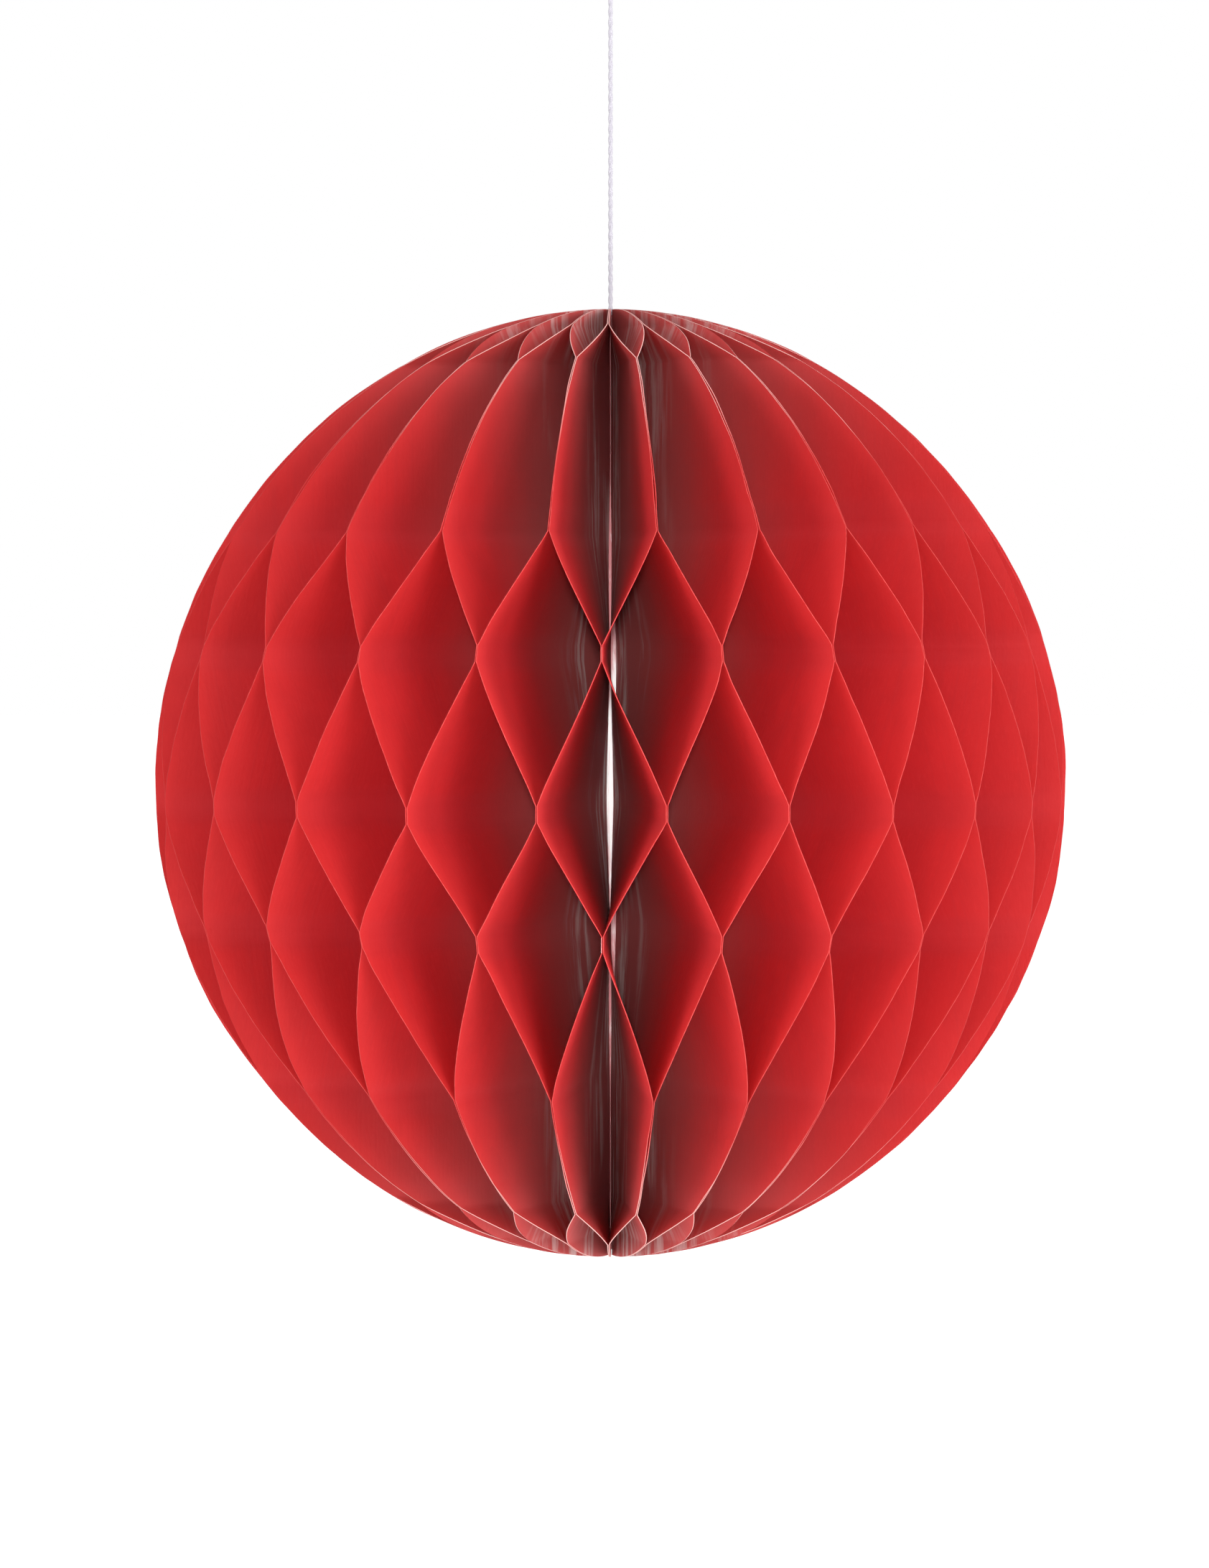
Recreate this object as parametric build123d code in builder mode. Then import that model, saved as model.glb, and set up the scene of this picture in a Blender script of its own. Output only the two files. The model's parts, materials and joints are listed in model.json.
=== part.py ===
from build123d import *

import math
import os

# Paper honeycomb ball on a hanging twine. Millimetres, +Z up along the twine and the spine.
# The origin is where the hanging loop bears on its hook. -Y is the front, where the ball is closed.

# ---- the ball ----
BALL_HALF_HEIGHT = 125.0
BALL_RADIUS = 120.2
BALL_CENTRE_Z = -262.0
# 2 is an ellipse, and a little less is more pointed
FULLNESS = 1.95

# ---- the leaves: half discs of paper, each glued to its two neighbours along level lines ----
LEAVES = 48
PAPER = 0.2
GLUE_FILM = 0.15
GLUE_BAND = 4.0
POLE_GAP = 0.4
SEAM_AZIMUTH = -91.1
# the ball was opened by hand, so its leaves stand wider apart on the left than on the right
UNEVENNESS = 0.11
# height above the ball's centre, and the neighbour column that the leaf is pressed to: 1 outer, -1 inner
GLUE_LINES = (
    (120.5, -1),
    (107.0, 1),
    (66.4, 1),
    (34.3, -1),
    (-4.3, 1),
    (-35.8, -1),
    (-78.0, 1),
    (-105.5, 1),
    (-119.5, -1),
)
LONGEST_SPAN = 17.0

# ---- the spine sleeve: a white paper tube, swollen in the middle, that the leaves are bound to ----
SLEEVE_NECK_RADIUS = 2.1
SLEEVE_BELLY_RADIUS = 8.0
SLEEVE_WALL = 0.5
BELLY_HALF_LENGTH = 80.0
SLEEVE_HALF_LENGTH = 123.5
BINDING_GAP = 0.35

# ---- double-sided tape that closes the ball, on two glue levels of the seam ----
TAPE_THICKNESS = 0.11
TAPE_LENGTH = 14.0
TAPE_HEIGHT = 3.6
TAPE_INSET = 0.1
TAPE_LEVELS = {"upper_closing_tape": 34.3, "lower_closing_tape": -35.8}

# ---- the twine ----
TWINE_RADIUS = 0.65
TWINE_CLEARANCE = 0.07
STOPPER_Z = 68.0
STOPPER_RADIUS = 2.3
STOPPER_HALF_HEIGHT = 2.6
KNOT_Z = -45.0
KNOT_RADIUS = 2.5
KNOT_HALF_HEIGHT = 3.2
CORD_IN_KNOT = 1.0
# one side of the loop, from the knot up to the hook
LOOP_SIDE = ((0.9, -43.0), (3.9, -32.5), (6.3, -22.5), (7.2, -12.0), (5.4, TWINE_RADIUS))
BEND_SHARE = 0.45

os.makedirs("parts", exist_ok=True)


def export_piece(piece, name):
    piece.part.label = name
    export_step(piece.part, f"parts/{name}.step")


def column_azimuth(column):
    """Degrees from the seam of a glue column: whole columns are on the seam's glue levels, halves between them."""
    turn = math.radians(720.0 * column / LEAVES)
    return math.degrees(turn - UNEVENNESS * (1.0 - math.cos(turn)))


def ball_radius(z):
    """The leaf's outline: a half disc, slightly taller than wide."""
    return BALL_RADIUS * (1.0 - (abs(z) / BALL_HALF_HEIGHT) ** FULLNESS) ** (1.0 / FULLNESS)


def sleeve_radius(z):
    """The sleeve's outside: a long arc between two straight necks."""
    if abs(z) >= BELLY_HALF_LENGTH:
        return SLEEVE_NECK_RADIUS
    rise = SLEEVE_BELLY_RADIUS - SLEEVE_NECK_RADIUS
    arc_radius = (BELLY_HALF_LENGTH**2 + rise**2) / (2.0 * rise)
    return SLEEVE_BELLY_RADIUS - arc_radius + math.sqrt(arc_radius**2 - z**2)


def leaf_levels():
    """(height, side) of the leaf's cross-sections: both edges of each glue band, and levels between them."""
    top = BALL_HALF_HEIGHT - POLE_GAP
    knots = [(top, GLUE_LINES[0][1])]
    for z, side in GLUE_LINES:
        half = min(GLUE_BAND / 2.0, (BALL_HALF_HEIGHT - abs(z)) / 3.0)
        knots += [(z + half, side), (z - half, side)]
    knots.append((-top, GLUE_LINES[-1][1]))
    levels = [knots[0]]
    for (z0, side0), (z1, side1) in zip(knots, knots[1:]):
        steps = math.ceil((z0 - z1) / LONGEST_SPAN)
        for i in range(1, steps + 1):
            share = i / steps
            levels.append((z0 + share * (z1 - z0), side0 + share * (side1 - side0)))
    return levels


def seam_plane(z, turned=0.0):
    """A level plane at a height above the ball's centre, with X outwards at an angle from the seam."""
    azimuth = math.radians(SEAM_AZIMUTH + turned)
    outwards = (math.cos(azimuth), math.sin(azimuth), 0)
    return Plane(origin=(0, 0, BALL_CENTRE_Z + z), x_dir=outwards, z_dir=(0, 0, 1))


# ---- leaves: leaf_01 is the first on the right of the seam, leaf_48 the last, on its left ----
levels = leaf_levels()
for number in range(1, LEAVES + 1):
    low = column_azimuth((number - 1) / 2.0)
    high = column_azimuth(number / 2.0)
    towards_outer = 1.0 if number % 2 else -1.0
    middle = (low + high) / 2.0
    half_angle = (high - low) / 2.0
    with BuildPart() as leaf:
        for z, side in levels:
            inner = sleeve_radius(z) + BINDING_GAP
            outer = ball_radius(z)
            swing = towards_outer * side
            with BuildSketch(seam_plane(z, middle + swing * half_angle)):
                with Locations(((inner + outer) / 2.0, -swing * (PAPER + GLUE_FILM) / 2.0)):
                    Rectangle(outer - inner, PAPER)
        loft(ruled=True)
    export_piece(leaf, f"leaf_{number:02d}")

# ---- spine sleeve ----
with BuildPart() as spine_sleeve:
    bore_radius = TWINE_RADIUS + TWINE_CLEARANCE
    low_end = BALL_CENTRE_Z - SLEEVE_HALF_LENGTH
    low_belly = BALL_CENTRE_Z - BELLY_HALF_LENGTH
    high_belly = BALL_CENTRE_Z + BELLY_HALF_LENGTH
    high_end = BALL_CENTRE_Z + SLEEVE_HALF_LENGTH
    with BuildSketch(Plane.XZ):
        with BuildLine():
            low_neck = Line((SLEEVE_NECK_RADIUS, low_end), (SLEEVE_NECK_RADIUS, low_belly))
            belly_out = (SLEEVE_BELLY_RADIUS, BALL_CENTRE_Z)
            belly = ThreePointArc(low_neck @ 1, belly_out, (SLEEVE_NECK_RADIUS, high_belly))
            high_neck = Line(belly @ 1, (SLEEVE_NECK_RADIUS, high_end))
            top = Line(high_neck @ 1, (bore_radius, high_end))
            high_bore = Line(top @ 1, (bore_radius, high_belly))
            belly_in = (SLEEVE_BELLY_RADIUS - SLEEVE_WALL, BALL_CENTRE_Z)
            hollow = ThreePointArc(high_bore @ 1, belly_in, (bore_radius, low_belly))
            low_bore = Line(hollow @ 1, (bore_radius, low_end))
            Line(low_bore @ 1, low_neck @ 0)
        make_face()
    revolve(axis=Axis.Z)
export_piece(spine_sleeve, "spine_sleeve")

# ---- closing tapes, between leaf_48 and leaf_01 at the rim ----
for name, z in TAPE_LEVELS.items():
    rim = ball_radius(abs(z) + TAPE_HEIGHT / 2.0) - TAPE_INSET
    with BuildPart() as closing_tape:
        with BuildSketch(seam_plane(z - TAPE_HEIGHT / 2.0)):
            with Locations((rim - TAPE_LENGTH / 2.0, 0)):
                Rectangle(TAPE_LENGTH, TAPE_THICKNESS)
        extrude(amount=TAPE_HEIGHT)
    export_piece(closing_tape, name)

# ---- twine: straight from the stopper knot inside the sleeve up to the loop knot ----
stopper_top = BALL_CENTRE_Z + STOPPER_Z + STOPPER_HALF_HEIGHT
straight_low = stopper_top - CORD_IN_KNOT
straight_high = KNOT_Z - KNOT_HALF_HEIGHT + CORD_IN_KNOT
with BuildPart() as hanging_twine:
    with BuildSketch(Plane.XY.offset(straight_low)):
        Circle(TWINE_RADIUS)
    extrude(amount=straight_high - straight_low)
export_piece(hanging_twine, "hanging_twine")

# ---- hanging loop, a teardrop pulled tight over its hook ----
loop_route = [(-x, z) for x, z in LOOP_SIDE] + [(x, z) for x, z in reversed(LOOP_SIDE)]
runs = [math.dist(a, b) for a, b in zip(loop_route, loop_route[1:])]
bends = []
for i in range(1, len(runs)):
    arriving = Vector(loop_route[i]) - Vector(loop_route[i - 1])
    leaving = Vector(loop_route[i + 1]) - Vector(loop_route[i])
    half_turn = math.radians(arriving.get_angle(leaving)) / 2.0
    bends.append(BEND_SHARE * min(runs[i - 1], runs[i]) / math.tan(half_turn))
print("loop bend radii, mm:", [round(bend, 1) for bend in bends])
with BuildPart() as twine_loop:
    with BuildLine() as loop_path:
        FilletPolyline(*[(x, 0, z) for x, z in loop_route], radius=bends)
    with BuildSketch(Plane(origin=loop_path.line @ 0, z_dir=loop_path.line % 0)):
        Circle(TWINE_RADIUS)
    sweep()
print("loop length, mm:", round(loop_path.wire().length, 1))
export_piece(twine_loop, "twine_loop")

# ---- knots: barrel-shaped lumps of wound twine ----
for name, z, radius, half_height in (
    ("loop_knot", KNOT_Z, KNOT_RADIUS, KNOT_HALF_HEIGHT),
    ("stopper_knot", BALL_CENTRE_Z + STOPPER_Z, STOPPER_RADIUS, STOPPER_HALF_HEIGHT),
):
    with BuildPart() as knot:
        with BuildSketch(Plane.XZ):
            with BuildLine():
                axis = Line((0, z - half_height), (0, z + half_height))
                cap = Line(axis @ 1, (radius / 2.0, z + half_height))
                side = ThreePointArc(cap @ 1, (radius, z), (radius / 2.0, z - half_height))
                Line(side @ 1, axis @ 0)
            make_face()
        revolve(axis=Axis.Z)
    export_piece(knot, name)
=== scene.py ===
import json
import math

import bpy
import numpy as np
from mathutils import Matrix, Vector, noise


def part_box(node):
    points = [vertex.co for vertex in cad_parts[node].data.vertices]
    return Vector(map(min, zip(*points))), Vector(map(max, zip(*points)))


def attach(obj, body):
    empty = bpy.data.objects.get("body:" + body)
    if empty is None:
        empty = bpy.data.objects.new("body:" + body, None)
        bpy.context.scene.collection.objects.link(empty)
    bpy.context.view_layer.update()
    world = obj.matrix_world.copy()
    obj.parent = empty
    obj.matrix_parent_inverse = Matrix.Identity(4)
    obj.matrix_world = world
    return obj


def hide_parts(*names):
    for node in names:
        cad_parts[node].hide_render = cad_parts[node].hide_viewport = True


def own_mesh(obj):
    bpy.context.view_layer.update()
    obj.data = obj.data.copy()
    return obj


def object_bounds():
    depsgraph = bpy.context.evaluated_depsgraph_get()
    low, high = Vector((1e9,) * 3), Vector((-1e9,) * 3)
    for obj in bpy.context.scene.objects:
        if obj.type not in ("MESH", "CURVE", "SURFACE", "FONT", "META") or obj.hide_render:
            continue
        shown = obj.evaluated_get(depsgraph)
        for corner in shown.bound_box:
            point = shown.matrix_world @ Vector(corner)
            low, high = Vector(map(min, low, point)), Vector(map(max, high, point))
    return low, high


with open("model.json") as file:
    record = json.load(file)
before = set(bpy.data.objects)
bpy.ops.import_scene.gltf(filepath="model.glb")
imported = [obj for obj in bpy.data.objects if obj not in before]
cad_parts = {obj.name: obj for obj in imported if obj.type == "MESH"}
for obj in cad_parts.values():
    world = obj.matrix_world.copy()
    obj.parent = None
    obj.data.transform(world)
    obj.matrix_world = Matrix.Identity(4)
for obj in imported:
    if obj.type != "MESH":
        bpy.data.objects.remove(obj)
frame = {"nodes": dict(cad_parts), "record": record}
cad_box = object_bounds()

# Metres, in the CAD frame: +Z up along the twine and the spine, -Y the front.
MM = 0.001
sleeve_low, sleeve_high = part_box("spine_sleeve")
CENTRE = (sleeve_low + sleeve_high) / 2.0
LEAVES = sum(name.startswith("leaf_") for name in frame["nodes"])

# ---- the honeycomb: the same driving sizes as the CAD leaves ----
HALF_HEIGHT = 125.0 * MM
BALL_RADIUS = 120.2 * MM
POLE_SHARE = 0.0003
# 2 is an ellipse, and a little less is more pointed
FULLNESS = 1.95
SEAM_AZIMUTH = math.radians(-91.1)
# the ball was opened by hand, so its leaves stand wider apart on the left than on the right
UNEVENNESS = 0.11
GLUE_BAND = 4.0 * MM
LEAF_OFFSET = 0.175 * MM
# height above the ball's centre in mm, and the neighbour that the leaf is glued to: 1 outer, -1 inner
GLUE_LINES = (
    (120.5, -1),
    (107.0, 1),
    (66.4, 1),
    (34.3, -1),
    (-4.3, 1),
    (-35.8, -1),
    (-78.0, 1),
    (-105.5, 1),
    (-119.5, -1),
)
SLEEVE_NECK_RADIUS = 2.1 * MM
SLEEVE_BELLY_RADIUS = sleeve_high.x
BELLY_HALF_LENGTH = 80.0 * MM
BINDING_GAP = 0.35 * MM

# ---- what real paper adds ----
PAPER = 0.16 * MM
# the cut edge is this much thicker, over this width
RIM_BEAD = 0.02 * MM
RIM_BAND = 0.35 * MM
# the painted glow along the cut edge, standing for light shining through the tissue, fades over this width
RIM_GLOW_FADE = 11.0 * MM
# 0 is straight from joint to joint, and 1 is a full S
S_CURVE = 0.1
# the joints stand higher above and lower below the middle, away from the seam
SIDE_SPREAD = 0.052
RIGHT_SPREAD = 0.022
JOINT_HEIGHT_SCATTER = 1.0 * MM
JOINT_TURN_SCATTER = math.radians(0.5)
LEAF_WAVE = math.radians(0.35)
CUT_SCATTER = 0.35 * MM
# the cut gets truer where the ball's radius is under this share of its largest
CUT_CALM_SHARE = 0.3
GLUE_FADE = 6.0 * MM
# how closely the noise follows: along the cut, and out from the spine and up on the leaf, in waves per metre
CUT_SWAY, CUT_NICKS = 55.0, 210.0
LEAF_SWELL = (24.0, 17.0)
LEAF_RIPPLE = (60.0, 45.0)

# ---- each leaf's grid of points ----
ROW_TURN = math.radians(0.75)
# shares of the way from the spine to the rim
COLUMNS = (0.0, 0.04, 0.1, 0.19, 0.3, 0.43, 0.57, 0.7, 0.8, 0.88, 0.94, 0.975, 1.0)
SMOOTH_BELOW = math.radians(60.0)


def smoothstep(t):
    t = min(max(t, 0.0), 1.0)
    return t * t * (3.0 - 2.0 * t)


def column_azimuth(half_column):
    """Radians from the seam of a glue column. Whole columns are even, and those between them odd."""
    turn = 2.0 * math.pi * half_column / LEAVES
    return turn - UNEVENNESS * (1.0 - math.cos(turn))


def ball_radius(z):
    return BALL_RADIUS * (1.0 - (abs(z) / HALF_HEIGHT) ** FULLNESS) ** (1.0 / FULLNESS)


def sleeve_radius(z):
    if abs(z) >= BELLY_HALF_LENGTH:
        return SLEEVE_NECK_RADIUS
    rise = SLEEVE_BELLY_RADIUS - SLEEVE_NECK_RADIUS
    arc_radius = (BELLY_HALF_LENGTH**2 + rise**2) / (2.0 * rise)
    return SLEEVE_BELLY_RADIUS - arc_radius + math.sqrt(arc_radius**2 - z**2)


def joint_at(half_column, level):
    """(height, azimuth from the seam) of a glued joint, a little off its place, alike for both leaves."""
    z = GLUE_LINES[level][0] * MM
    turn = 2.0 * math.pi * half_column / LEAVES
    spread = SIDE_SPREAD * min(1.0, 1.0 - math.cos(turn)) + RIGHT_SPREAD * math.sin(turn)
    z *= 1.0 + spread * (1.0 - (z / HALF_HEIGHT) ** 2)
    spot = Vector((half_column % LEAVES * 0.83, level * 1.71, 3.3))
    taper = ball_radius(z) / BALL_RADIUS
    z += JOINT_HEIGHT_SCATTER * taper * noise.noise(spot)
    azimuth = column_azimuth(half_column) + JOINT_TURN_SCATTER * noise.noise(spot * 1.31)
    return z, azimuth


def leaf_marks(number):
    """(height, azimuth, swing) at both edges of each glue band. Swing is 1 at the outer neighbour."""
    towards_outer = 1.0 if number % 2 else -1.0
    top = HALF_HEIGHT * (1.0 - POLE_SHARE)
    marks = []
    for level, (nominal, side) in enumerate(GLUE_LINES):
        swing = towards_outer * side
        z, azimuth = joint_at(number if swing > 0 else number - 1, level)
        half = min(GLUE_BAND / 2.0, (HALF_HEIGHT - abs(nominal * MM)) / 3.0)
        marks += [(z + half, azimuth, swing), (z - half, azimuth, swing)]
    return [(top, *marks[0][1:])] + marks + [(-top, *marks[-1][1:])]


def leaf_rows(number):
    """(height, azimuth, swing, glued) of each row of points. Glued is 1 inside a glue band."""
    marks = leaf_marks(number)
    rows = []
    for i, ((z0, azimuth0, swing0), (z1, azimuth1, swing1)) in enumerate(zip(marks, marks[1:])):
        turn0, turn1 = math.asin(z0 / HALF_HEIGHT), math.asin(z1 / HALF_HEIGHT)
        steps = max(2, round((turn0 - turn1) / ROW_TURN))
        closing_row = 1 if i == len(marks) - 2 else 0
        for step in range(steps + closing_row):
            share = step / steps
            z = HALF_HEIGHT * math.sin(turn0 + share * (turn1 - turn0))
            along = (z0 - z) / (z0 - z1)
            eased = along + S_CURVE * (smoothstep(along) - along)
            azimuth = azimuth0 + eased * (azimuth1 - azimuth0)
            swing = swing0 + eased * (swing1 - swing0)
            in_band = swing0 == swing1 and azimuth0 == azimuth1
            off = 0.0 if in_band else min(z0 - z, z - z1)
            rows.append((z, azimuth, swing, 1.0 - smoothstep(off / GLUE_FADE)))
    return rows


def cut_radius(z, number, inner):
    """The leaf's cut edge: the ball's outline with a slightly wavy cut, and never inside the sleeve."""
    cut = CUT_SCATTER * noise.noise(Vector((z * CUT_SWAY, number * 2.7, 0.0)))
    cut += 0.5 * CUT_SCATTER * noise.noise(Vector((z * CUT_NICKS, number * 1.9, 7.0)))
    calm = min(1.0, ball_radius(z) / (CUT_CALM_SHARE * BALL_RADIUS))
    return max(ball_radius(z) + cut * calm, inner + 2 * RIM_BAND)


def leaf_sheet(number):
    """The middle of a leaf's paper as a grid: points, places on the flat paper, and gluing."""
    points, places, glues = [], [], []
    for z, azimuth, swing, glued in leaf_rows(number):
        inner = sleeve_radius(z) + BINDING_GAP
        outer = cut_radius(z, number, inner)
        for share in COLUMNS:
            r = outer if share == 1.0 else inner + share * (outer - inner - RIM_BAND)
            wave = noise.noise(Vector((r * LEAF_SWELL[0], z * LEAF_SWELL[1], number * 3.1)))
            wave += 0.4 * noise.noise(Vector((r * LEAF_RIPPLE[0], z * LEAF_RIPPLE[1], number * 5.3)))
            angle = SEAM_AZIMUTH + azimuth + LEAF_WAVE * (1.0 - glued) * wave
            side = -swing * LEAF_OFFSET
            x = r * math.cos(angle) - side * math.sin(angle)
            y = r * math.sin(angle) + side * math.cos(angle)
            points.append((CENTRE.x + x, CENTRE.y + y, CENTRE.z + z))
            places.append((r, z, number))
            glues.append(glued)
    columns = len(COLUMNS)
    grids = [np.array(rows).reshape(-1, columns, 3) for rows in (points, places)]
    return (*grids, np.array(glues).reshape(-1, columns))


def new_object(name, data):
    made = bpy.data.objects.new(name, data)
    bpy.context.scene.collection.objects.link(made)
    return made


def put_attribute(mesh, name, kind, values):
    attribute = mesh.attributes.new(name, kind, "POINT")
    field = "vector" if kind == "FLOAT_VECTOR" else "value"
    attribute.data.foreach_set(field, np.ravel(values).astype(np.float32))


def leaf_mesh(number):
    """One leaf as a thin closed sheet, a trace thicker at its cut edge between the joints."""
    middle, places, glued = leaf_sheet(number)
    down = np.gradient(middle, axis=0)
    out = np.gradient(middle, axis=1)
    normal = np.cross(out, down)
    normal /= np.linalg.norm(normal, axis=2, keepdims=True)
    half = np.full(glued.shape, PAPER / 2.0)
    half[:, -1] += RIM_BEAD / 2.0 * (1.0 - glued[:, -1])
    front = (middle + normal * half[:, :, None]).reshape(-1, 3)
    back = (middle - normal * half[:, :, None]).reshape(-1, 3)

    rows, columns = glued.shape
    count = rows * columns
    index = np.arange(count).reshape(rows, columns)
    corners = [index[:-1, :-1], index[1:, :-1], index[1:, 1:], index[:-1, 1:]]
    quads = np.stack(corners, axis=-1).reshape(-1, 4)
    faces = [tuple(quad) for quad in quads[:, ::-1].tolist() + (quads + count).tolist()]
    skin_faces = len(faces)
    loop = np.concatenate([index[:-1, 0], index[-1, :-1], index[:0:-1, -1], index[0, :0:-1]])
    after = np.roll(loop, -1)
    faces += [(b, a, a + count, b + count) for a, b in zip(loop.tolist(), after.tolist())]

    mesh = bpy.data.meshes.new(f"paper_leaf_{number:02d}")
    mesh.from_pydata(np.concatenate([front, back]).tolist(), [], faces)
    mesh.polygons.foreach_set("use_smooth", [True] * len(faces))
    mesh.polygons.foreach_set("material_index", [0] * skin_faces + [1] * (len(faces) - skin_faces))
    mesh.set_sharp_from_angle(angle=SMOOTH_BELOW)
    # painted glow: closeness to the cut edge, where a brighter red is painted for light shining through
    from_rim = places[:, -1:, 0] - places[:, :, 0]
    rim_glow = np.exp(-from_rim / RIM_GLOW_FADE)
    put_attribute(mesh, "paper_place", "FLOAT_VECTOR", np.concatenate([places.reshape(-1, 3)] * 2))
    put_attribute(mesh, "glued", "FLOAT", np.concatenate([glued.ravel()] * 2))
    put_attribute(mesh, "rim_glow", "FLOAT", np.concatenate([rim_glow.ravel()] * 2))
    mesh.update()
    return mesh


# ---- materials ----
def new_material(name):
    material = bpy.data.materials.new(name)
    material.use_nodes = True
    material.node_tree.nodes.clear()
    return material, material.node_tree


def add(tree, kind, inputs=None, **settings):
    """A node with its settings, and its inputs set to values or linked to sockets."""
    made = tree.nodes.new(kind)
    for key, value in settings.items():
        setattr(made, key, value)
    for key, value in (inputs or {}).items():
        if isinstance(value, bpy.types.NodeSocket):
            tree.links.new(value, made.inputs[key])
        else:
            made.inputs[key].default_value = value
    return made


def mixed(tree, factor, low, high):
    """The colour between low and high."""
    # a Mix node's factor, A and B for colours are its inputs 0, 6 and 7
    return add(tree, "ShaderNodeMix", {0: factor, 6: low, 7: high}, data_type="RGBA").outputs[2]


def ranged(tree, value, low, high, start=0.0, end=1.0, ease="SMOOTHSTEP"):
    """value taken from low..high to start..end."""
    inputs = {"Value": value, "From Min": low, "From Max": high, "To Min": start, "To Max": end}
    return add(tree, "ShaderNodeMapRange", inputs, interpolation_type=ease).outputs["Result"]


def calculated(tree, operation, a, b=0.0):
    return add(tree, "ShaderNodeMath", {0: a, 1: b}, operation=operation).outputs[0]


def noised(tree, vector, stretch, detail=3.0, roughness=0.55):
    """Noise over a place in metres, with stretch in waves per metre along each axis."""
    placed = add(tree, "ShaderNodeMapping", {"Vector": vector, "Scale": stretch}).outputs["Vector"]
    inputs = {"Vector": placed, "Scale": 1.0, "Detail": detail, "Roughness": roughness}
    return add(tree, "ShaderNodeTexNoise", inputs).outputs["Fac"]


def bumped(tree, height, strength, distance):
    inputs = {"Strength": strength, "Distance": distance, "Height": height}
    return add(tree, "ShaderNodeBump", inputs).outputs["Normal"]


def principled(tree, inputs):
    return add(tree, "ShaderNodeBsdfPrincipled", inputs).outputs[0]


def output(tree, surface):
    add(tree, "ShaderNodeOutputMaterial", {"Surface": surface})


def attribute(tree, name, socket):
    return add(tree, "ShaderNodeAttribute", attribute_name=name).outputs[socket]


def object_place(tree):
    return add(tree, "ShaderNodeTexCoord").outputs["Object"]


def part_of(tree, vector, axis):
    return add(tree, "ShaderNodeSeparateXYZ", {"Vector": vector}).outputs[axis]


def paper_skin():
    """Red tissue: mottled, laid and thin enough to glow, with painted glow along the cut edge, darker
    towards the spine from glue and painted shade, and smeared with glue near the spine in a pale painted
    reflection.
    """
    material, tree = new_material("red_tissue")
    # the place on the flat paper: X out from the spine, Y up, Z the leaf's number
    place = attribute(tree, "paper_place", "Vector")
    glued = attribute(tree, "glued", "Fac")
    rim_glow = attribute(tree, "rim_glow", "Fac")
    radius = part_of(tree, place, "X")

    clouds = noised(tree, place, (70.0, 50.0, 1.0))
    fibres = noised(tree, place, (1500.0, 420.0, 1.0), detail=4.0, roughness=0.7)
    laid = noised(tree, place, (950.0, 9.0, 1.0), detail=1.0)
    mottled = ranged(tree, clouds, 0.35, 0.65)
    dyed = mixed(tree, mottled, (0.48, 0.0040, 0.0065, 1), (0.43, 0.0035, 0.0060, 1))
    dyed = mixed(tree, ranged(tree, fibres, 0.45, 0.75, 0.0, 0.3), dyed, (0.60, 0.014, 0.017, 1))
    dyed = mixed(tree, ranged(tree, laid, 0.5, 0.7, 0.0, 0.22), dyed, (0.36, 0.005, 0.009, 1))
    soaked = mixed(tree, ranged(tree, glued, 0.2, 1.0, 0.0, 0.3), dyed, (0.34, 0.005, 0.009, 1))
    # painted shade: darker, duller brown towards the spine, deep in the cells, along with glue staining
    # there
    spine_glue_and_shade = mixed(tree, ranged(tree, radius, 0.092, 0.022, 0.0, 0.85), soaked, (0.27, 0.048, 0.046, 1))
    # painted glow: brighter red towards the cut edge, for light shining through the tissue there
    with_rim_glow = mixed(tree, calculated(tree, "MULTIPLY", rim_glow, 0.4), spine_glue_and_shade, (0.66, 0.014, 0.012, 1))

    # glue smears near the spine: lower roughness, and a pale pink painted reflection off the dried glue
    strokes = noised(tree, place, (240.0, 26.0, 1.0), detail=5.0, roughness=0.65)
    patches = ranged(tree, noised(tree, place, (45.0, 22.0, 1.0), detail=1.0), 0.42, 0.56)
    near_spine = calculated(tree, "MULTIPLY", ranged(tree, radius, 0.050, 0.014), patches)
    glue_smears_and_reflection = calculated(tree, "MULTIPLY", ranged(tree, strokes, 0.44, 0.62), near_spine)
    smear_and_reflection_share = calculated(tree, "MULTIPLY", glue_smears_and_reflection, 0.8)
    colour = mixed(tree, smear_and_reflection_share, with_rim_glow, (0.62, 0.40, 0.38, 1))

    height = calculated(tree, "ADD", fibres, calculated(tree, "MULTIPLY", laid, 0.6))
    bump = bumped(tree, height, 0.35, 0.00015)
    roughness = ranged(tree, glue_smears_and_reflection, 0.0, 1.0, 0.78, 0.42)
    lit = {"Base Color": colour, "Roughness": roughness, "Specular IOR Level": 0.2, "Normal": bump}
    front = principled(tree, lit)
    glow = mixed(tree, 0.35, colour, (0.95, 0.025, 0.012, 1))
    behind = add(tree, "ShaderNodeBsdfTranslucent", {"Color": glow, "Normal": bump}).outputs[0]
    let_through = ranged(tree, glued, 0.0, 1.0, 0.26, 0.20)
    output(tree, add(tree, "ShaderNodeMixShader", {0: let_through, 1: front, 2: behind}).outputs[0])
    return material


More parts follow.
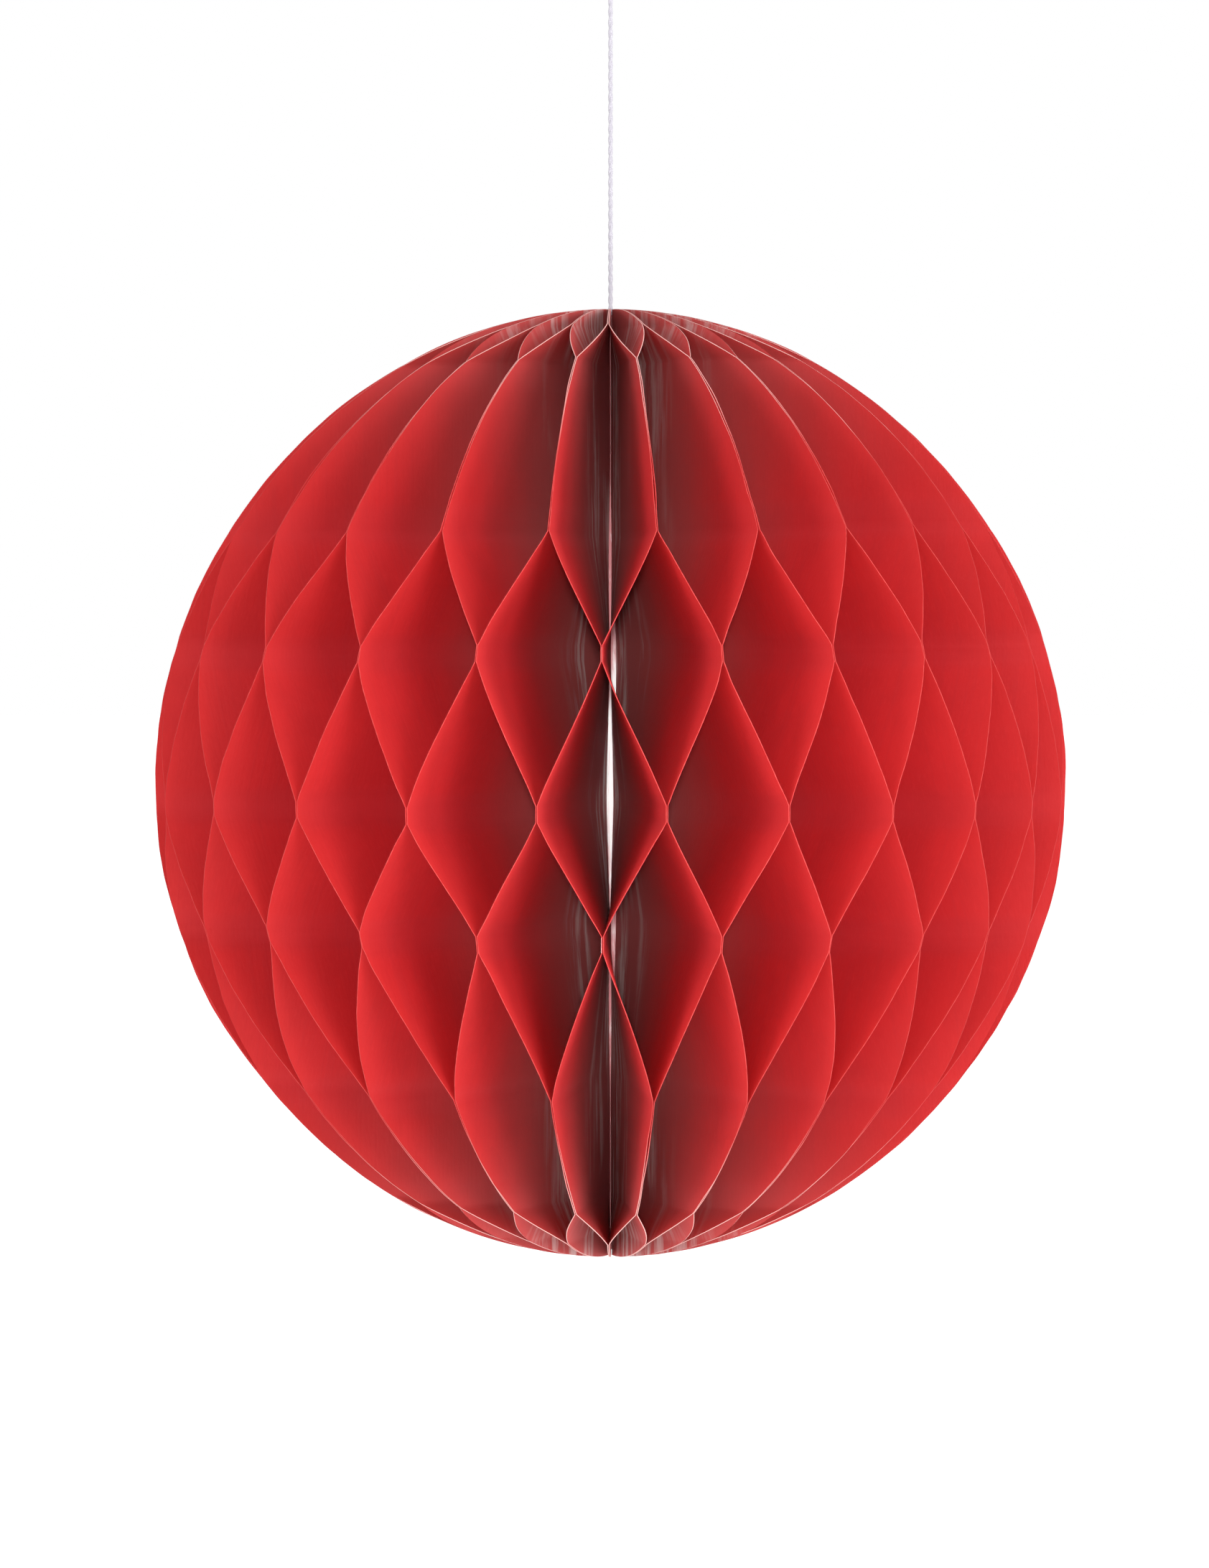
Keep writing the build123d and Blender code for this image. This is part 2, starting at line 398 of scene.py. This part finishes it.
def cut_edge():
    """The tissue's cut edge: fuzzy and dyed through, and paler towards the poles."""
    material, tree = new_material("cut_edge")
    place = attribute(tree, "paper_place", "Vector")
    fuzz = noised(tree, place, (700.0, 700.0, 1.0))
    dyed = mixed(tree, ranged(tree, fuzz, 0.35, 0.65), (0.36, 0.010, 0.010, 1), (0.42, 0.026, 0.024, 1))
    height = part_of(tree, place, "Y")
    to_pole = ranged(tree, calculated(tree, "ABSOLUTE", height), 0.080, 0.118)
    colour = mixed(tree, to_pole, dyed, (0.74, 0.34, 0.31, 1))
    output(tree, principled(tree, {"Base Color": colour, "Roughness": 0.9, "Specular IOR Level": 0.2}))
    return material


def sleeve_paper():
    """White paper, pink in ragged streaks towards both ends."""
    material, tree = new_material("sleeve_paper")
    to_middle = {"Vector": object_place(tree), "Location": (0, 0, -CENTRE.z)}
    place = add(tree, "ShaderNodeMapping", to_middle).outputs["Vector"]
    streaks = noised(tree, place, (900.0, 900.0, 60.0), detail=4.0, roughness=0.7)
    # the white stretch is centred 4 mm above the middle
    from_white_stretch = calculated(tree, "SUBTRACT", part_of(tree, place, "Z"), 0.004)
    away = ranged(tree, calculated(tree, "ABSOLUTE", from_white_stretch), 0.012, 0.040)
    ragged = calculated(tree, "ADD", streaks, calculated(tree, "MULTIPLY", away, 0.38))
    colour = mixed(tree, ranged(tree, ragged, 0.50, 0.86), (0.93, 0.90, 0.89, 1), (0.50, 0.14, 0.15, 1))
    bump = bumped(tree, streaks, 0.4, 0.0002)
    output(tree, principled(tree, {"Base Color": colour, "Roughness": 0.8, "Normal": bump}))
    return material


def twine_yarn():
    """White yarn with a cool grey cast and fine fibres along its strands."""
    material, tree = new_material("white_yarn")
    fibres = noised(tree, object_place(tree), (4000.0, 4000.0, 900.0), roughness=0.7)
    colour = mixed(tree, ranged(tree, fibres, 0.3, 0.7), (0.30, 0.28, 0.33, 1), (0.40, 0.38, 0.43, 1))
    bump = bumped(tree, fibres, 0.25, 0.0001)
    lit = {"Base Color": colour, "Roughness": 0.9, "Sheen Weight": 0.3, "Normal": bump}
    output(tree, principled(tree, lit))
    return material


def tape_film(name, low, high):
    """Adhesive tape, seen only as its thin edge."""
    material, tree = new_material(name)
    haze = noised(tree, object_place(tree), (600.0, 600.0, 600.0))
    output(tree, principled(tree, {"Base Color": mixed(tree, haze, low, high), "Roughness": 0.5}))
    return material


def pale_floor():
    """A pale floor with some light of its own, so that no horizon shows."""
    material, tree = new_material("pale_floor")
    clouds = noised(tree, object_place(tree), (3.0, 3.0, 3.0))
    colour = mixed(tree, clouds, (0.88, 0.88, 0.88, 1), (0.90, 0.90, 0.90, 1))
    glow = {"Emission Color": (1.0, 1.0, 1.0, 1), "Emission Strength": 0.85}
    output(tree, principled(tree, {"Base Color": colour, "Roughness": 0.9, **glow}))
    return material


# ---- leaves ----
def flatten_with_leaf(piece):
    """Gives the piece a mesh of its own."""
    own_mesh(piece)


def add_leaves():
    skin, edge = paper_skin(), cut_edge()
    bodies = frame["record"]["behaviour"]["bodies"]
    for number in range(1, LEAVES + 1):
        node = f"leaf_{number:02d}"
        mesh = leaf_mesh(number)
        mesh.materials.append(skin)
        mesh.materials.append(edge)
        leaf = new_object(f"paper_{node}", mesh)
        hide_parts(node)
        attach(leaf, next(body for body, nodes in bodies.items() if node in nodes))
        flatten_with_leaf(leaf)


# ---- closing tapes: stuck to the first leaf, they stay with the spine ----
def add_tapes():
    films = {
        "upper_closing_tape": tape_film("dyed_tape_film", (0.34, 0.012, 0.012, 1), (0.42, 0.020, 0.020, 1)),
        "lower_closing_tape": tape_film("milky_tape_film", (0.80, 0.70, 0.69, 1), (0.92, 0.86, 0.85, 1)),
    }
    for node, film in films.items():
        tape = new_object(f"film_{node}", frame["nodes"][node].data.copy())
        tape.data.materials.clear()
        tape.data.materials.append(film)
        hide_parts(node)
        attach(tape, "spine")
        flatten_with_leaf(tape)


# ---- the sleeve keeps its CAD mesh ----
def paint_sleeve():
    mesh = frame["nodes"]["spine_sleeve"].data
    mesh.materials.clear()
    mesh.materials.append(sleeve_paper())


# ---- twine ----
TWINE_RADIUS = 0.65 * MM
STRAND_RADIUS = 0.45 * MM
STRAND_SIDES = 12
STRAND_STEP = 0.35 * MM
TWIST_PITCH = 5.6 * MM
KNOT_TURNS = 3.5
KNOT_STEPS = 90
# 0 is a straight-sided knot, and 1 comes to a point at both ends
KNOT_TAPER = 0.7
# the knot's turns wander this far up and down, and keep this many twine radii clear of its height
KNOT_WANDER = 0.25 * MM
KNOT_CLEAR = 2.2
# one side of the loop in mm, from the knot up to the hook
LOOP_SIDE = ((0.9, -43.0), (3.9, -32.5), (6.3, -22.5), (7.2, -12.0), (5.4, 0.65))


def smooth_route(name, points):
    """The NURBS curve through the route's points, read back as closely spaced points along it."""
    curve = bpy.data.curves.new(name, "CURVE")
    curve.dimensions = "3D"
    spline = curve.splines.new("NURBS")
    spline.points.add(len(points) - 1)
    for point, place in zip(spline.points, points):
        point.co = (*place, 1.0)
    spline.order_u = 3
    spline.use_endpoint_u = True
    spline.resolution_u = 24
    holder = new_object(name, curve)
    bpy.context.view_layer.update()
    mesh = bpy.data.meshes.new_from_object(holder.evaluated_get(bpy.context.evaluated_depsgraph_get()))
    line = [vertex.co.copy() for vertex in mesh.vertices]
    bpy.data.objects.remove(holder)
    bpy.data.meshes.remove(mesh)
    return line


def even_points(line):
    """Points a strand's step apart along a line, with its ends."""
    steps = [0.0]
    for a, b in zip(line, line[1:]):
        steps.append(steps[-1] + (b - a).length)
    count = max(2, round(steps[-1] / STRAND_STEP))
    wanted = np.linspace(0.0, steps[-1], count + 1)
    columns = [np.interp(wanted, steps, [p[axis] for p in line]) for axis in range(3)]
    return [Vector(p) for p in zip(*columns)]


def twisted(name, line):
    """Two strands twisted round each other along a line, as one mesh, and the points that they follow."""
    points = even_points(line)
    last = len(points) - 1
    lay = TWINE_RADIUS - STRAND_RADIUS
    tangents = [(points[min(i + 1, last)] - points[max(i - 1, 0)]).normalized() for i in range(last + 1)]
    across = tangents[0].orthogonal().normalized()
    vertices, faces = [], []
    for strand_turn in (0.0, math.pi):
        start = len(vertices)
        side = across.copy()
        for i, (point, tangent) in enumerate(zip(points, tangents)):
            side = (side - tangent * side.dot(tangent)).normalized()
            other = tangent.cross(side)
            turn = strand_turn + 2.0 * math.pi * i * STRAND_STEP / TWIST_PITCH
            centre = point + (side * math.cos(turn) + other * math.sin(turn)) * lay
            for k in range(STRAND_SIDES):
                around = 2.0 * math.pi * k / STRAND_SIDES
                outwards = side * math.cos(around) + other * math.sin(around)
                vertices.append(centre + outwards * STRAND_RADIUS)
        for i in range(last):
            for k in range(STRAND_SIDES):
                a = start + i * STRAND_SIDES + k
                b = start + i * STRAND_SIDES + (k + 1) % STRAND_SIDES
                faces.append((a, b, b + STRAND_SIDES, a + STRAND_SIDES))
        end = start + last * STRAND_SIDES
        faces.append(tuple(start + k for k in reversed(range(STRAND_SIDES))))
        faces.append(tuple(end + k for k in range(STRAND_SIDES)))
    mesh = bpy.data.meshes.new(name)
    mesh.from_pydata(vertices, [], faces)
    mesh.polygons.foreach_set("use_smooth", [True] * len(faces))
    mesh.set_sharp_from_angle(angle=SMOOTH_BELOW)
    return new_object(name, mesh), points


def hang(piece, node, yarn):
    """The piece is of twine, stands for a CAD node, and stays with the hanger as the ball turns."""
    piece.data.materials.append(yarn)
    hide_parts(node)
    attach(piece, "hanger")


def wound_knot(name, node, yarn):
    """A knot: turns of twine wound over each other in the shape of its CAD barrel."""
    low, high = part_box(node)
    middle, size = (low + high) / 2.0, high - low
    widest = size.x / 2.0 - TWINE_RADIUS
    height = size.z - KNOT_CLEAR * TWINE_RADIUS
    line = []
    for i in range(KNOT_STEPS + 1):
        share = i / KNOT_STEPS
        turn = 2.0 * math.pi * KNOT_TURNS * share
        r = widest * math.sqrt(1.0 - (2.0 * share - 1.0) ** 2 * KNOT_TAPER)
        z = (share - 0.5) * height + KNOT_WANDER * math.sin(2.0 * turn)
        line.append(middle + Vector((r * math.cos(turn), r * math.sin(turn), z)))
    knot, _ = twisted(name, line)
    hang(knot, node, yarn)
    return knot


def add_twine():
    yarn = twine_yarn()
    loop_knot = wound_knot("wound_loop_knot", "loop_knot", yarn)
    stopper_knot = wound_knot("wound_stopper_knot", "stopper_knot", yarn)

    low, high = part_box("hanging_twine")
    ends = [Vector((CENTRE.x, CENTRE.y, z)) for z in (low.z, (low.z + high.z) / 2.0, high.z)]
    straight, path = twisted("twisted_hanging_twine", smooth_route("straight_route", ends))
    hang(straight, "hanging_twine", yarn)

    one_side = [(x * MM, 0.0, z * MM) for x, z in LOOP_SIDE]
    route = [(-x, y, z) for x, y, z in one_side] + one_side[::-1]
    loop, path = twisted("twisted_loop", smooth_route("loop_route", route))
    hang(loop, "twine_loop", yarn)


# ---- studio ----
AMBIENT = 0.42
FLOOR_DROP = 0.30
FLOOR_SIZE = 60.0
VIEW_GAMMA = 1.25
# name, place, size and watts
SOFTBOXES = (
    ("overhead_softbox", (0.0, -0.9, 1.1), 1.2, 10.0),
    ("left_softbox", (-1.5, -1.25, 0.0), 1.0, 16.0),
    ("right_softbox", (1.9, -0.8, 0.0), 1.2, 29.0),
    ("near_right_softbox", (1.0, -1.7, 0.0), 1.0, 19.0),
)
# a narrow soft cone that reaches into the front cells
SPOT_PLACE = (0.0, -2.2, -0.15)
SPOT_WATTS = 185.0
SPOT_CONE = math.radians(7.0)
SPOT_SOFTNESS = 0.05
CAMERA_DISTANCE = 1.25
CAMERA_RISE = 36.3 * MM
CAMERA_LENS = 108.45
# the camera looks at this place beside the ball's centre
FRAMING = Vector((-1.6 * MM, 0.0, -0.2 * MM))


def aim_at_ball(lamp, place):
    holder = new_object(lamp.name, lamp)
    holder.location = place
    holder.rotation_euler = (CENTRE - holder.location).to_track_quat("-Z", "Y").to_euler()


def add_lights():
    for name, place, size, watts in SOFTBOXES:
        lamp = bpy.data.lights.new(name, "AREA")
        lamp.shape = "DISK"
        lamp.size = size
        lamp.energy = watts
        aim_at_ball(lamp, place)
    spot = bpy.data.lights.new("front_spot", "SPOT")
    spot.energy = SPOT_WATTS
    spot.spot_size = SPOT_CONE
    spot.spot_blend = 1.0
    spot.shadow_soft_size = SPOT_SOFTNESS
    aim_at_ball(spot, SPOT_PLACE)


def add_floor():
    floor_z = cad_box[0].z - FLOOR_DROP
    bpy.ops.mesh.primitive_plane_add(size=FLOOR_SIZE, location=(0.0, 0.0, floor_z))
    floor = bpy.context.active_object
    floor.name = "floor"
    floor.data.materials.append(pale_floor())


def add_world():
    """White to the eye, and dimmer as a light."""
    world = bpy.data.worlds.new("white_studio")
    bpy.context.scene.world = world
    world.use_nodes = True
    tree = world.node_tree
    background = tree.nodes["Background"]
    background.inputs["Color"].default_value = (1.0, 1.0, 1.0, 1.0)
    seen = add(tree, "ShaderNodeLightPath").outputs["Is Camera Ray"]
    tree.links.new(ranged(tree, seen, 0.0, 1.0, AMBIENT, 1.0, "LINEAR"), background.inputs["Strength"])


def add_studio():
    add_floor()
    add_world()
    add_lights()
    bpy.context.scene.view_settings.view_transform = "Standard"
    bpy.context.scene.view_settings.gamma = VIEW_GAMMA


def add_camera():
    data = bpy.data.cameras.new("camera")
    data.sensor_width = 36.0
    data.lens = CAMERA_LENS
    data.clip_end = 100.0
    camera = new_object("camera", data)
    camera.location = CENTRE + Vector((0.0, -CAMERA_DISTANCE, CAMERA_RISE))
    camera.rotation_euler = (CENTRE + FRAMING - camera.location).to_track_quat("-Z", "Y").to_euler()
    bpy.context.scene.camera = camera


add_camera()
add_studio()
add_twine()
add_leaves()
add_tapes()
paint_sleeve()
